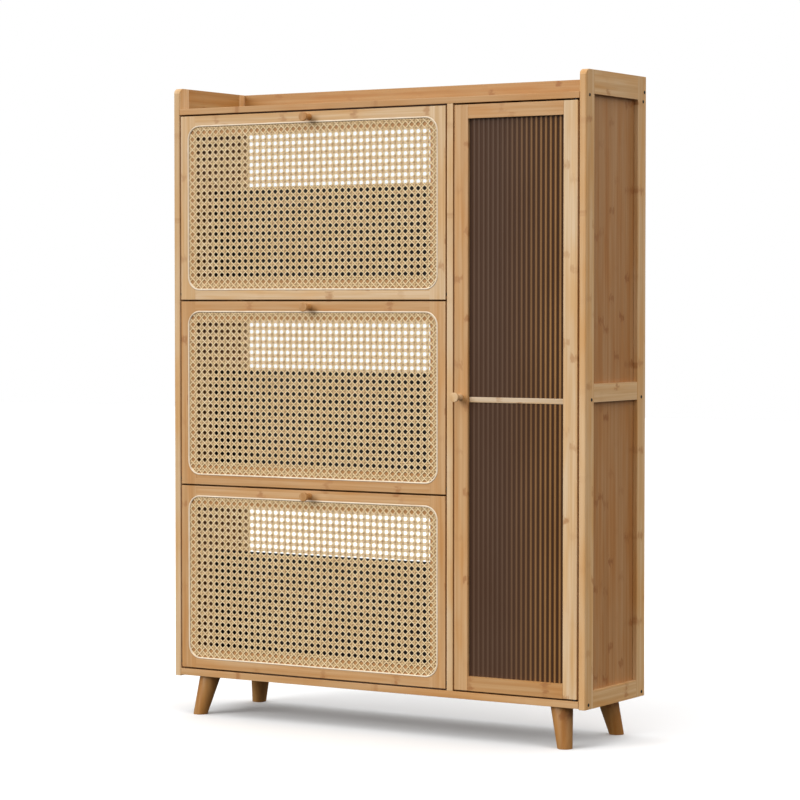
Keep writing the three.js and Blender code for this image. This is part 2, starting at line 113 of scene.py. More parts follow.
# ---- turned and moulded pieces ----
LEG_TOP_RADIUS = 19.5 * MM
LEG_FOOT_RADIUS = 13 * MM
FLUTE_PITCH = 9.3 * MM
FLUTE_DEPTH = 1.2 * MM
BOLT_RADIUS = 2.9 * MM
BOLT_PROUD = 0.5 * MM
SOCKET_RADIUS = 1.35 * MM
BOLT_INSET_FRONT = 13 * MM  # from the front of the bottom board
BOLT_INSET_REAR = 11 * MM
BOLT_RISE_GALLERY = 11 * MM  # from the gallery rail's lower edge
SHELF_BOLT_IN_FRONT = 9 * MM  # further in than the bolts of the boards
SHELF_BOLT_IN_REAR = 4 * MM
AXLE_RADIUS = 0.05 * MM  # where the skin of a turned piece closes on its axis
LEG_STRIP = 17 * MM  # strips of bamboo in a leg
KNOB_STRIP = 30 * MM  # and in a knob


# ---------------------------------------------------------------- shader helpers
class Graph:
    """One material's node tree, with short calls for the nodes that the materials use."""

    def __init__(self, name):
        self.material = bpy.data.materials.new(name)
        self.material.use_nodes = True
        self.tree = self.material.node_tree
        self.tree.nodes.clear()
        output = self.tree.nodes.new("ShaderNodeOutputMaterial")
        self.shader = self.tree.nodes.new("ShaderNodeBsdfPrincipled")
        self.tree.links.new(self.shader.outputs[0], output.inputs["Surface"])

    def put(self, socket, value):
        """Links a socket to a value that is another node's output, or sets it."""
        if isinstance(value, bpy.types.NodeSocket):
            self.tree.links.new(value, socket)
        elif value is not None:
            socket.default_value = value

    def math(self, operation, first, second=None):
        node = self.tree.nodes.new("ShaderNodeMath")
        node.operation = operation
        for socket, value in zip(node.inputs, (first, second)):
            self.put(socket, value)
        return node.outputs[0]

    def axes(self):
        """The object's own coordinates, one output for each of x, y and z."""
        coordinates = self.tree.nodes.new("ShaderNodeTexCoord")
        split = self.tree.nodes.new("ShaderNodeSeparateXYZ")
        self.put(split.inputs[0], coordinates.outputs["Object"])
        return dict(zip("xyz", split.outputs))

    def vector(self, x, y, z):
        node = self.tree.nodes.new("ShaderNodeCombineXYZ")
        for socket, value in zip(node.inputs, (x, y, z)):
            self.put(socket, value)
        return node.outputs[0]

    def stretched(self, parts, frequencies, rest=0.0):
        """A noise place: each part times its own frequency, in features per metre."""
        scaled = [
            self.math("MULTIPLY", part, frequency)
            for part, frequency in zip(parts, frequencies)
        ]
        return self.vector(*scaled, *[rest] * (3 - len(scaled)))

    def noise(self, vector, scale, detail=2.0, roughness=0.5):
        node = self.tree.nodes.new("ShaderNodeTexNoise")
        self.put(node.inputs["Vector"], vector)
        self.put(node.inputs["Scale"], scale)
        self.put(node.inputs["Detail"], detail)
        self.put(node.inputs["Roughness"], roughness)
        return node.outputs["Fac"]

    def dice(self, vector):
        """A random number from 0 to 1 for each whole-numbered place."""
        node = self.tree.nodes.new("ShaderNodeTexWhiteNoise")
        self.put(node.inputs["Vector"], vector)
        return node.outputs["Value"]

    def spread(self, value, low, high, to_low=0.0, to_high=1.0, smooth=False):
        """Takes low..high to to_low..to_high, clamped."""
        node = self.tree.nodes.new("ShaderNodeMapRange")
        node.interpolation_type = "SMOOTHSTEP" if smooth else "LINEAR"
        for socket, number in zip(node.inputs, (value, low, high, to_low, to_high)):
            self.put(socket, number)
        return node.outputs[0]

    def mix(self, share, first, second, blend="MIX"):
        node = self.tree.nodes.new("ShaderNodeMix")
        node.data_type = "RGBA"
        node.blend_type = blend
        self.put(node.inputs["Factor"], share)
        self.put(node.inputs["A"], rgba(first))
        self.put(node.inputs["B"], rgba(second))
        return node.outputs["Result"]

    def bump(self, height, distance):
        node = self.tree.nodes.new("ShaderNodeBump")
        self.put(node.inputs["Height"], height)
        node.inputs["Distance"].default_value = distance
        self.put(self.shader.inputs["Normal"], node.outputs[0])

    def finish(self, colour, roughness, **plain):
        self.put(self.shader.inputs["Base Color"], rgba(colour))
        self.put(self.shader.inputs["Roughness"], roughness)
        for name, value in plain.items():
            self.shader.inputs[name.replace("_", " ")].default_value = value
        return self.material


def rgba(colour):
    return (*colour, 1.0) if isinstance(colour, tuple) and len(colour) == 3 else colour


# ---------------------------------------------------------------- materials
NOISE_RANGE = (0.3, 0.7)  # where nearly all of a noise's values lie
BAMBOO_TONES = {  # a board's pale strips
    "pale": (0.74, 0.545, 0.343),
    "fair": (0.73, 0.495, 0.275),
    "golden": (0.64, 0.400, 0.200),
    "warm": (0.56, 0.325, 0.140),
    # painted shade: the darker tone of the left side's top rail and the gallery rail, which lie
    # in shade
    "amber": (0.47, 0.285, 0.120),
    "panel": (0.46, 0.252, 0.112),
    "leg": (0.45, 0.235, 0.078),
    "bar": (0.68, 0.545, 0.400),
}
DEEP_SHARE = (0.80, 0.68, 0.51)  # a deep strip, as shares of the pale one
NODE_SHARE = (0.62, 0.42, 0.26)
BLUSH_SHARE = (0.97, 0.84, 0.64)
# colour of the painted shade in the rebate under the webbing, seen through its holes
REBATE_PAINTED_SHADE = (0.46, 0.220, 0.070)
REBATE_SHADE_START = 1.2 * MM  # depth behind a front's face where the rebate's painted shade starts
REBATE_SHADE_END = 1.8 * MM
BAMBOO_STRIP = 19 * MM
BAMBOO_WANDER = 1.5 * MM  # how far a strip's edge strays
BAMBOO_NODE_GAP = 0.15
BAMBOO_FIBRE = (9.0, 620.0, 620.0)  # features per metre along, across and through a board
BAMBOO_STREAK = (2.5, 150.0, 60.0)
BAMBOO_BLUSH = (7.0, 55.0, 20.0)
BAMBOO_RAGGED = (90.0, 170.0)
STRIP_TONE_SEED = (3.0, 7.0)
STRIP_TONE_WEIGHT = 0.42
NODE_SHIFT_SEED = (11.0, 5.0)
NODE_SHIFT = 9.7  # nodes of neighbouring strips are shifted by up to this many gaps
NODE_STRENGTH_SEED = 2.0
NODE_WEIGHT = 0.9
NODE_RAGGED = (-5 * MM, 6 * MM)  # how far a node's outline strays either way
SMUDGE_LENGTH = 10 * MM  # the soft dark mark beside a node
RIDGE_START = 0.2 * MM  # the narrow line of the node itself
RIDGE_END = 1.6 * MM


def shaded(colour, shares):
    return tuple(part * share for part, share in zip(colour, shares))


def bamboo(tone, along, across, through, strip=BAMBOO_STRIP, frame_box=None):
    """Laminated bamboo: strips side by side, fine fibres, and nodes at odd places in each.

    With frame_box, the box of a tip-out front's frame, the grain turns upright in its
    stiles, and painted shade darkens the rebate under the webbing.
    """
    name = f"bamboo_{tone}_{along}{across}" + ("_frame" if frame_box else "")
    if name in bpy.data.materials:
        return bpy.data.materials[name]
    pale = BAMBOO_TONES[tone]
    deep, band_colour = shaded(pale, DEEP_SHARE), shaded(pale, NODE_SHARE)
    g = Graph(name)
    axis = g.axes()
    run, side, depth = axis[along], axis[across], axis[through]
    if frame_box:
        low, high = frame_box
        from_middle = g.math("ABSOLUTE", g.math("SUBTRACT", run, (low.x + high.x) / 2))
        in_stile = g.math("GREATER_THAN", from_middle, (high.x - low.x) / 2 - FRONT_STILE)
        turn = g.math("MULTIPLY", in_stile, g.math("SUBTRACT", side, run))
        run, side = g.math("ADD", run, turn), g.math("SUBTRACT", side, turn)

    # which strip this is, and its own tone
    wander = g.math("MULTIPLY", g.noise(g.vector(run, depth, 0.0), 3.0, 1.0), BAMBOO_WANDER)
    strip_place = g.math("DIVIDE", g.math("ADD", side, wander), strip)
    strip_number = g.math("FLOOR", strip_place)
    strip_tone = g.dice(g.vector(strip_number, *STRIP_TONE_SEED))
    strip_edge = g.math("PINGPONG", strip_place, 0.5)

    # fibres run along the strip: fine ones, and broader soft streaks
    board = (run, side, depth)
    fibre = g.noise(g.stretched(board, BAMBOO_FIBRE), 1.0, 3.0, 0.6)
    streak = g.noise(g.stretched(board, BAMBOO_STREAK), 1.0, 2.0, 0.5)

    # nodes: a short dark band across a strip, with a ragged outline
    shift_draw = g.dice(g.vector(strip_number, *NODE_SHIFT_SEED))
    shift = g.math("MULTIPLY", shift_draw, NODE_SHIFT)
    node_place = g.math("ADD", g.math("DIVIDE", run, BAMBOO_NODE_GAP), shift)
    node_number = g.math("FLOOR", node_place)
    ragged = g.noise(g.stretched((run, side), BAMBOO_RAGGED), 1.0, 3.0)
    from_node = g.math("ABSOLUTE", g.math("SUBTRACT", g.math("FRACT", node_place), 0.5))
    distance = g.math("MULTIPLY", from_node, BAMBOO_NODE_GAP)
    ragged_distance = g.math("ADD", distance, g.spread(ragged, 0.35, 0.65, *NODE_RAGGED))
    strength_draw = g.dice(g.vector(node_number, strip_number, NODE_STRENGTH_SEED))
    node_strength = g.spread(strength_draw, 0.25, 1.0, 0.1, 1.0)
    smudge = g.spread(ragged_distance, 0.0, SMUDGE_LENGTH, 1.0, 0.0, smooth=True)
    ridge = g.spread(distance, RIDGE_START, RIDGE_END, 1.0, 0.0, smooth=True)
    mark = g.math("MAXIMUM", smudge, g.math("MULTIPLY", ridge, 0.5))
    band = g.math("MULTIPLY", mark, node_strength)

    # the colour: pale to deep by strip and line, blushed in patches, dark at the nodes
    streak_share = g.spread(streak, 0.36, 0.64, 0.0, 0.6)
    fibre_share = g.spread(fibre, 0.35, 0.65, 0.0, 0.25)
    lines = g.math("ADD", streak_share, fibre_share)
    tone_share = g.math("ADD", g.math("MULTIPLY", strip_tone, STRIP_TONE_WEIGHT), lines)
    colour = g.mix(tone_share, pale, deep)
    blush = g.spread(g.noise(g.stretched(board, BAMBOO_BLUSH), 1.0, 2.0), 0.42, 0.68)
    colour = g.mix(blush, colour, BLUSH_SHARE, "MULTIPLY")
    colour = g.mix(g.math("MULTIPLY", band, NODE_WEIGHT), colour, band_colour)
    if frame_box:
        # painted shade: the rebate under the webbing turns darker with depth
        painted_shade = g.spread(depth, low.y + REBATE_SHADE_START, low.y + REBATE_SHADE_END)
        colour = g.mix(g.math("MULTIPLY", painted_shade, 0.9), colour, REBATE_PAINTED_SHADE)
    seam = g.spread(strip_edge, 0.0, 0.02, 0.18, 0.0)
    colour = g.mix(seam, colour, deep)

    grain = g.math("ADD", fibre, g.math("MULTIPLY", band, -0.6))
    g.bump(grain, 0.06 * MM)
    roughness = g.spread(fibre, 0.25, 0.75, 0.40, 0.54)
    return g.finish(colour, roughness, Specular_IOR_Level=0.3)


CANE_FIBRE = (60.0, 2600.0)  # features per metre along a strand and across it
CANE_PATCH = (18.0, 330.0)
CANE_FIBRE_TONE = (0.50, 0.31, 0.13)
# colour of the painted shade on strands that lie deep under others
CANE_PAINTED_SHADE_TONE = (0.30, 0.145, 0.042)
CANE_SHADE_START = -0.42 * MM  # depths from the middle of the sheet where painted shade darkens the strands
CANE_SHADE_END = 0.04 * MM


def cane_material(name, tilt, pale, deep):
    """Peeled cane: a glossy skin with fibre lines along the strand, which leans by tilt, and
    painted shade where the strand lies deep in the sheet.
    """
    g = Graph(name)
    axis = g.axes()
    lean, rise = math.sin(tilt), math.cos(tilt)
    run = g.math(
        "ADD", g.math("MULTIPLY", axis["x"], lean), g.math("MULTIPLY", axis["z"], rise)
    )
    side = g.math(
        "SUBTRACT", g.math("MULTIPLY", axis["x"], rise), g.math("MULTIPLY", axis["z"], lean)
    )
    fibre = g.noise(g.stretched((run, side), CANE_FIBRE), 1.0, 2.0)
    patch = g.noise(g.stretched((run, side), CANE_PATCH, rest=4.0), 1.0, 2.0)
    colour = g.mix(g.spread(patch, *NOISE_RANGE), pale, deep)
    colour = g.mix(g.spread(fibre, 0.55, 0.8, 0.0, 0.3), colour, CANE_FIBRE_TONE)
    # painted shade: the deeper a strand lies in the sheet, the darker it is, for the shade of the
    # strands over it
    low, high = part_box("lower_cane_panel")
    middle = (low.y + high.y) / 2
    painted_shade = g.spread(axis["y"], middle + CANE_SHADE_START, middle + CANE_SHADE_END, 0.0, 0.75)
    colour = g.mix(painted_shade, colour, CANE_PAINTED_SHADE_TONE)
    g.bump(fibre, 0.04 * MM)
    roughness = g.spread(patch, *NOISE_RANGE, 0.34, 0.5)
    return g.finish(colour, roughness, Specular_IOR_Level=0.3)


REED_FIBRE = (40.0, 900.0, 40.0)  # features per metre in x, y and z
REED_PALE = (0.88, 0.76, 0.59)
REED_DEEP = (0.76, 0.60, 0.42)


def reed_material():
    """Bleached reed with faint fibres."""
    g = Graph("reed_spline")
    axis = g.axes()
    fibre = g.noise(g.stretched(axis.values(), REED_FIBRE), 1.0, 2.0)
    colour = g.mix(g.spread(fibre, *NOISE_RANGE), REED_PALE, REED_DEEP)
    g.bump(fibre, 0.05 * MM)
    return g.finish(colour, g.spread(fibre, *NOISE_RANGE, 0.40, 0.55), IOR=1.45)


# the left's darker body and the right's bright crests are painted shade and painted light of the
# inside seen through the plastic
FLUTE_BODY = ((0.074, 0.036, 0.020), (0.050, 0.020, 0.008))  # at the left and at the right
FLUTE_CREST = ((0.114, 0.064, 0.038), (0.411, 0.200, 0.060))
FLUTE_THROUGH_LIGHT_START = 0.3  # share of the width where the painted light seen through the panel starts
FLUTE_CREST_POWER = 4.5  # higher is a narrower light line on each crest


def fluted_material():
    """Brown tinted plastic, lighter at the crests, where the light catches each flute, as painted
    highlights, and with painted light towards the right, where the lit inside would show through.
    """
    g = Graph("fluted_plastic")
    axis = g.axes()
    low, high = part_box("door_upper_fluted_panel")
    crest = g.spread(axis["y"], low.y, low.y + FLUTE_DEPTH, 1.0, 0.0)
    haze = g.noise(g.vector(axis["x"], axis["y"], g.math("MULTIPLY", axis["z"], 0.35)), 14.0, 2.0)
    through_light_from = low.x + FLUTE_THROUGH_LIGHT_START * (high.x - low.x)
    # painted light and shade: dark at the left, where the partition would show through, warm at
    # the right, where the lit back panel would
    through_light_share = g.spread(axis["x"], through_light_from, high.x, smooth=True)
    body = g.mix(through_light_share, *FLUTE_BODY)
    crest_highlight = g.mix(through_light_share, *FLUTE_CREST)
    # painted highlight along each crest
    light_line = g.math("POWER", crest, FLUTE_CREST_POWER)
    share = g.math("MULTIPLY", light_line, g.spread(haze, *NOISE_RANGE, 0.7, 1.0))
    colour = g.mix(share, body, crest_highlight)
    g.bump(haze, 0.02 * MM)
    roughness = g.spread(haze, *NOISE_RANGE, 0.30, 0.42)
    return g.finish(colour, roughness, Specular_IOR_Level=0.14)


STEEL_SCRATCH = (300.0, 2500.0, 2500.0)
PIN_STEEL = ((0.10, 0.10, 0.10), (0.05, 0.05, 0.05), 0.5)  # two tones and the roughness
BOLT_STEEL = ((0.060, 0.075, 0.066), (0.030, 0.040, 0.034), 0.42)


def steel_material(name, pale, deep, roughness):
    """Metal with fine scratches."""
    g = Graph(name)
    axis = g.axes()
    scratch = g.noise(g.stretched(axis.values(), STEEL_SCRATCH), 1.0, 3.0)
    colour = g.mix(g.spread(scratch, *NOISE_RANGE), pale, deep)
    g.bump(scratch, 0.01 * MM)
    spread = g.spread(scratch, *NOISE_RANGE, roughness - 0.06, roughness + 0.08)
    return g.finish(colour, spread, Metallic=1.0)


RACK_GRAIN = (6.0, 300.0, 300.0)
RACK_PALE = (0.034, 0.022, 0.015)
RACK_DEEP = (0.016, 0.010, 0.007)


def rack_material():
    """Dark stained board with a little grain showing."""
    g = Graph("dark_board")
    axis = g.axes()
    grain = g.noise(g.stretched(axis.values(), RACK_GRAIN), 1.0, 3.0)
    colour = g.mix(g.spread(grain, *NOISE_RANGE), RACK_PALE, RACK_DEEP)
    g.bump(grain, 0.05 * MM)
    return g.finish(colour, g.spread(grain, *NOISE_RANGE, 0.5, 0.65))


FLOOR_TONES = ((0.97, 0.97, 0.97), (0.99, 0.99, 0.99))


def floor_material():
    """Matt white, very faintly mottled."""
    g = Graph("studio_floor")
    axis = g.axes()
    mottle = g.noise(g.vector(axis["x"], axis["y"], 0.0), 2.0, 2.0)
    colour = g.mix(g.spread(mottle, *NOISE_RANGE), *FLOOR_TONES)
    return g.finish(colour, 0.9)


# ---------------------------------------------------------------- mesh helpers
def add_mesh(name, points, faces, slots=(), slot_numbers=None, smooth=True):
    """A mesh object in the scene from vertices, faces and its materials."""
    mesh = bpy.data.meshes.new(name)
    mesh.from_pydata([tuple(p) for p in points], [], [tuple(f) for f in faces])
    for material in slots:
        mesh.materials.append(material)
    if slot_numbers is not None:
        mesh.polygons.foreach_set("material_index", slot_numbers)
    mesh.polygons.foreach_set("use_smooth", [smooth] * len(mesh.polygons))
    mesh.update()
    piece = bpy.data.objects.new(name, mesh)
    bpy.context.scene.collection.objects.link(piece)
    return piece


def ring_faces(rings, around, closed=False):
    """Faces of a skin over rings of points, numbered ring after ring.

    The last ring joins the first if closed; otherwise both have a cap.
    """
    ring = np.arange(rings if closed else rings - 1)
    step = np.arange(around)
    a = ring[:, None] * around + step
    b = ring[:, None] * around + (step + 1) % around
    over = around * rings
    faces = np.stack([a, b, (b + around) % over, (a + around) % over], -1).reshape(-1, 4)
    faces = faces.tolist()
    if not closed:
        faces.append(list(range(around - 1, -1, -1)))
        faces.append(list(range((rings - 1) * around, rings * around)))
    return faces


def rounded_profile(corners, radius, steps=4):
    """An outline of (radius, height) points with its inner corners rounded."""
    points = [corners[0]]
    for before, corner, after in zip(corners, corners[1:], corners[2:]):
        into = Vector(before) - Vector(corner)
        out = Vector(after) - Vector(corner)
        cut = min(radius, into.length * 0.45, out.length * 0.45)
        start = Vector(corner) + into.normalized() * cut
        end = Vector(corner) + out.normalized() * cut
        for i in range(steps + 1):
            t = i / steps
            point = (1 - t) ** 2 * start + 2 * t * (1 - t) * Vector(corner) + t * t * end
            points.append((point.x, point.y))
    points.append(corners[-1])
    return points


def turned(name, profile, place, around=48):
    """A turned piece. place(radius, height, angle) puts a point of the profile."""
    points = [
        place(radius, height, math.tau * i / around)
        for radius, height in profile
        for i in range(around)
    ]
    return add_mesh(name, points, ring_faces(len(profile), around))


def settle(piece, node, body, material=None):
    """Makes a new piece stand for a CAD node."""
    if material:
        piece.data.materials.append(material)
    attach(piece, body)
    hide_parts(node)


# ---------------------------------------------------------------- carried-over boards and bars
BOARD_ARRIS = 0.7 * MM
PIN_ARRIS = 0.3 * MM
WELD_DISTANCE = 0.004 * MM
SHARPEST_ROUND = math.radians(35)  # edges that turn by less than this stay as they are


def ease_edges(node, width):
    """Small rounded arrises on a CAD board, which keeps its faces where they are."""
    mesh = node.data
    normals = mesh.attributes.get("custom_normal")
    if normals:
        mesh.attributes.remove(normals)
    mesh.polygons.foreach_set("use_smooth", [True] * len(mesh.polygons))
    weld = node.modifiers.new("weld", "WELD")
    weld.merge_threshold = WELD_DISTANCE
    bevel = node.modifiers.new("ease", "BEVEL")
    bevel.width = width
    bevel.segments = 3
    bevel.limit_method = "ANGLE"
    bevel.angle_limit = SHARPEST_ROUND
    bevel.use_clamp_overlap = False
    shade = node.modifiers.new("shade", "WEIGHTED_NORMAL")
    shade.keep_sharp = False
    shade.weight = 90


def paint(name, material):
    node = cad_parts[name]
    node.data.materials.clear()
    node.data.materials.append(material)


# node name ending, then tone, and the axes along the grain, across it and through the board
BOARD_GRAIN = (
    (("left_front_stile",), "pale", "z", "y", "x"),
    (("right_front_stile", "rear_stile"), "fair", "z", "y", "x"),
    # the left side's rails are toned darker than the right's as painted shade, for their inner
    # faces lying out of the key light
    (("left_top_rail",), "amber", "y", "z", "x"),
    (("left_mid_rail", "left_bottom_rail"), "warm", "y", "z", "x"),
    (("right_top_rail", "right_mid_rail", "right_bottom_rail"), "fair", "y", "z", "x"),
    (("upper_panel", "lower_panel"), "panel", "z", "y", "x"),
    (("bottom_board", "top_board", "mid_shelf"), "golden", "x", "y", "z"),
    (("partition",), "pale", "z", "y", "x"),
    # the gallery rail's darker tone is painted shade, for its place behind the top board
    (("gallery_rail",), "amber", "x", "z", "y"),
    (("rear_rail",), "golden", "x", "z", "y"),
    (("door_section_back",), "panel", "z", "x", "y"),
    (("door_free_stile",), "golden", "z", "x", "y"),
    (("door_hinge_stile",), "pale", "z", "x", "y"),
    (("door_top_rail",), "golden", "x", "z", "y"),
    (("door_bottom_rail",), "warm", "x", "z", "y"),
    (("door_mid_bar",), "bar", "x", "z", "y"),
)
# the upper front's paler tone is painted light, for the light falling stronger high on the
# cabinet
FRONT_TONES = {"lower": "golden", "middle": "golden", "upper": "pale"}


def dress(endings, material, arris=BOARD_ARRIS):
    """Gives every CAD node whose name has one of these endings its material and arrises."""
    for name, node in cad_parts.items():
        if name.endswith(endings):
            paint(name, material)
            ease_edges(node, arris)


def dress_boards():
    for endings, *grain in BOARD_GRAIN:
        dress(endings, bamboo(*grain))
    for level, tone in FRONT_TONES.items():
        name = f"{level}_front_frame"
        dress((name,), bamboo(tone, "x", "z", "y", frame_box=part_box(name)))
    dress(("rack_floor", "rack_divider"), rack_material())
    dress(("_pivot_pin",), steel_material("pin_steel", *PIN_STEEL), PIN_ARRIS)


# ---------------------------------------------------------------- legs and knobs
LEG_ARRIS = 0.8 * MM
KNOB_ROUNDING = 1.8 * MM
KNOB_RIM = 0.2 * MM  # depth of the slope round the knob's face
KNOB_FACE = 0.80  # radius of the flat face, as a share of the knob's
KNOB_NECK = (  # radius and distance from the wood, as shares of the knob's radius and length
    (0.72, 0.0),
    (0.69, 0.12),
    (0.57, 0.36),
    (0.66, 0.55),
    (1.0, 0.80),
)


def inset_corner(low, high, side_x, side_y, inset, z):
    """The point set in from one upright edge of a box; side_x and side_y are -1 or 1."""
    x = low.x if side_x < 0 else high.x
    y = low.y if side_y < 0 else high.y
    return Vector((x - side_x * inset, y - side_y * inset, z))


def add_legs():
    """Tapered legs, each from the inner edge of its box at the top to the outer at the foot."""
    material = bamboo("leg", "z", "x", "y", strip=LEG_STRIP)
    for end in ("front", "rear"):
        for side in SIDES:
            name = f"{end}_{side}_leg"
            low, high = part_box(name)
            out_x = -1 if side == "left" else 1
            out_y = -1 if end == "front" else 1
            foot = inset_corner(low, high, out_x, out_y, LEG_FOOT_RADIUS, low.z)
            top = inset_corner(low, high, -out_x, -out_y, LEG_TOP_RADIUS, high.z)
            height = top.z - foot.z
            profile = rounded_profile(
                [
                    (AXLE_RADIUS, 0.0),
                    (LEG_FOOT_RADIUS, 0.0),
                    (LEG_TOP_RADIUS, height),
                    (AXLE_RADIUS, height),
                ],
                LEG_ARRIS,
            )

            def place(radius, rise, angle, foot=foot, top=top, height=height):
                axis = foot.lerp(top, rise / height)
                return axis + radius * Vector((math.cos(angle), math.sin(angle), 0))

            leg = turned(f"turned_{name}", profile, place, 64)
            settle(leg, name, "root", material)


def add_knob(node, body, material):
    """A knob with a waist, turned about the line it stands out along."""
    low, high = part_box(node)
    radius = (high.x - low.x) / 2
    length = high.y - low.y
    centre = (low + high) / 2
    neck = [(wide * radius, out * length) for wide, out in KNOB_NECK]
    face = [(radius, length - KNOB_RIM), (KNOB_FACE * radius, length), (AXLE_RADIUS, length)]
    profile = rounded_profile([(AXLE_RADIUS, 0.0), *neck, *face], KNOB_ROUNDING, 6)

    def place(r, out, angle):
        return Vector(
            (centre.x + r * math.sin(angle), high.y - out, centre.z + r * math.cos(angle))
        )

    knob = turned(f"turned_{node}", profile, place)
    settle(knob, node, body, material)


# ---------------------------------------------------------------- cane webbing
def inside_span(point, heading, half_x, half_z, corner):
    """Where a line through point enters and leaves a rounded rectangle about the origin."""
    reach = np.arange(-SEARCH_REACH, SEARCH_REACH, SEARCH_STEP)
    x = np.abs(point[0] + heading[0] * reach)
    z = np.abs(point[1] + heading[1] * reach)
    over_x = np.maximum(x - (half_x - corner), 0)
    over_z = np.maximum(z - (half_z - corner), 0)
    held = (x <= half_x) & (z <= half_z) & (np.hypot(over_x, over_z) <= corner)
    kept = reach[held]
    return (kept[0], kept[-1]) if len(kept) > SEARCH_LEAST else None


def strand_stations(span, first, step):
    """The ends of a strand and every station of its weave between them."""
    start = math.ceil((span[0] - first) / step + END_CLEARANCE)
    stop = math.floor((span[1] - first) / step - END_CLEARANCE)
    between = first + step * np.arange(start, stop + 1)
    return np.concatenate([[span[0]], between, [span[1]]])


# a strand's section: flat underneath, crowned on top; (share of width, share of thickness)
STRAND_SECTION = ((-0.5, 0.25), (-0.28, -0.42), (0.28, -0.42), (0.5, 0.25), (0.0, 0.5))


def strand(point, heading, stations, depths, width):
    """Rings of points of one flat strand, in x, depth and z."""
    across = (heading[1], -heading[0])
    along_x = point[0] + heading[0] * stations
    along_z = point[1] + heading[1] * stations
    rings = []
    for side, up in STRAND_SECTION:
        x = along_x + across[0] * side * width
        z = along_z + across[1] * side * width
        y = depths + up * STRAND_THICKNESS
        rings.append(np.stack([x, y, z], -1))
    return np.stack(rings, 1).reshape(-1, 3)


def upright_and_level_strands(half_x, half_z, corner):
    """The pairs of strands on the cells' borders."""
    lines_x = CANE_SHIFT.x + CANE_PITCH_X * (np.arange(CANE_COLUMNS + 1) - CANE_COLUMNS / 2)
    lines_z = CANE_SHIFT.z + CANE_PITCH_Z * (np.arange(CANE_ROWS + 1) - CANE_ROWS / 2)
    for kind, lines, cross, step, width in (
        ("upright", lines_x, lines_z, CANE_PITCH_Z, STRAND_WIDTH_UPRIGHT),
        ("level", lines_z, lines_x, CANE_PITCH_X, STRAND_WIDTH_LEVEL),
    ):
        for number, line in enumerate(lines):
            for twin in (0, 1):
                place = line + (twin - 0.5) * (width + STRAND_GAP)
                upright = kind == "upright"
                point = (place, 0.0) if upright else (0.0, place)
                heading = (0.0, 1.0) if upright else (1.0, 0.0)
                span = inside_span(point, heading, half_x, half_z, corner)
                if span is None:
                    continue
                stations = strand_stations(span, cross[0], step / 2)
                turn = math.pi * (stations - cross[0]) / step
                swing = np.cos(turn + math.pi * (number + twin))
                lift = PAIR_LIFT if upright else -0.5 * PAIR_LIFT
                depths = lift * swing * np.abs(np.cos(turn))
                yield kind, strand(point, heading, stations, depths, width)


def diagonal_strands(half_x, half_z, corner):
    """Strands that cut the cells' corners, over the pairs one way and under them the other."""
    border_x = CANE_SHIFT.x  # the border in the middle of the columns
    first_z = CANE_SHIFT.z - CANE_PITCH_Z * CANE_ROWS / 2
    length = math.hypot(CANE_PITCH_X, CANE_PITCH_Z)
    crossing = length / 2
    for kind, slope in (("rising", 1), ("falling", -1)):
        heading = (CANE_PITCH_X / length, slope * CANE_PITCH_Z / length)
        for number in range(-CANE_COLUMNS, CANE_COLUMNS + CANE_ROWS):
            # passes the mid-point of an upright border
            point = (border_x, first_z + (number + 0.5) * CANE_PITCH_Z)
            span = inside_span(point, heading, half_x, half_z, corner)
            if span is None:
                continue
            stations = strand_stations(span, 0.0, crossing / 3)
            swing = slope * np.cos(math.pi * stations / crossing)
            depths = -DIAGONAL_PROUD - DIAGONAL_LIFT * swing
            yield kind, strand(point, heading, stations, depths, STRAND_WIDTH_DIAGONAL)


# the pairs' tones are darker than the diagonals' as painted shade for lying under them, and the
# diagonals' are lighter as painted light on the strands on top
CANE_PAIR_TONES = ((0.90, 0.665, 0.365), (0.68, 0.44, 0.20))
CANE_DIAGONAL_TONES = ((0.96, 0.78, 0.49), (0.84, 0.61, 0.32))
CANE_LEAN = math.atan2(CANE_PITCH_X, CANE_PITCH_Z)
CANE_KINDS = {  # how far a strand leans from upright, and its tones
    "upright": (0.0, *CANE_PAIR_TONES),
    "level": (math.pi / 2, *CANE_PAIR_TONES),
    "rising": (CANE_LEAN, *CANE_DIAGONAL_TONES),
    "falling": (-CANE_LEAN, *CANE_DIAGONAL_TONES),
}


def webbing(low, high):
    """Points, faces and material numbers of one woven sheet over a front's rebate."""
    half_x = (high.x - low.x) / 2 - SPLINE_INSET_SIDE - SPLINE_RADIUS
    half_z = (high.z - low.z) / 2 - SPLINE_INSET_END - SPLINE_RADIUS
    corner = SPLINE_CORNER - SPLINE_RADIUS
    kinds = list(CANE_KINDS)
    around = len(STRAND_SECTION)
    points, faces, numbers = [], [], []
    count = 0
    for maker in (upright_and_level_strands, diagonal_strands):
        for kind, rings in maker(half_x, half_z, corner):
            skin = ring_faces(len(rings) // around, around)
            faces += [[v + count for v in face] for face in skin]
            numbers += [kinds.index(kind)] * len(skin)
            points.append(rings)
            count += len(rings)
    return np.concatenate(points), faces, numbers


def rounded_path(half_x, half_z, corner, step=12):
    """Points and outward headings along a rounded rectangle about the origin, in x and z."""
    path = []
    for i, (sign_x, sign_z) in enumerate(((1, 1), (-1, 1), (-1, -1), (1, -1))):
        centre = Vector((sign_x * (half_x - corner), 0, sign_z * (half_z - corner)))
        for j in range(step + 1):
            angle = math.pi / 2 * (i + j / step)
            out = Vector((math.cos(angle), 0, math.sin(angle)))
            path.append((centre + corner * out, out))
    return path


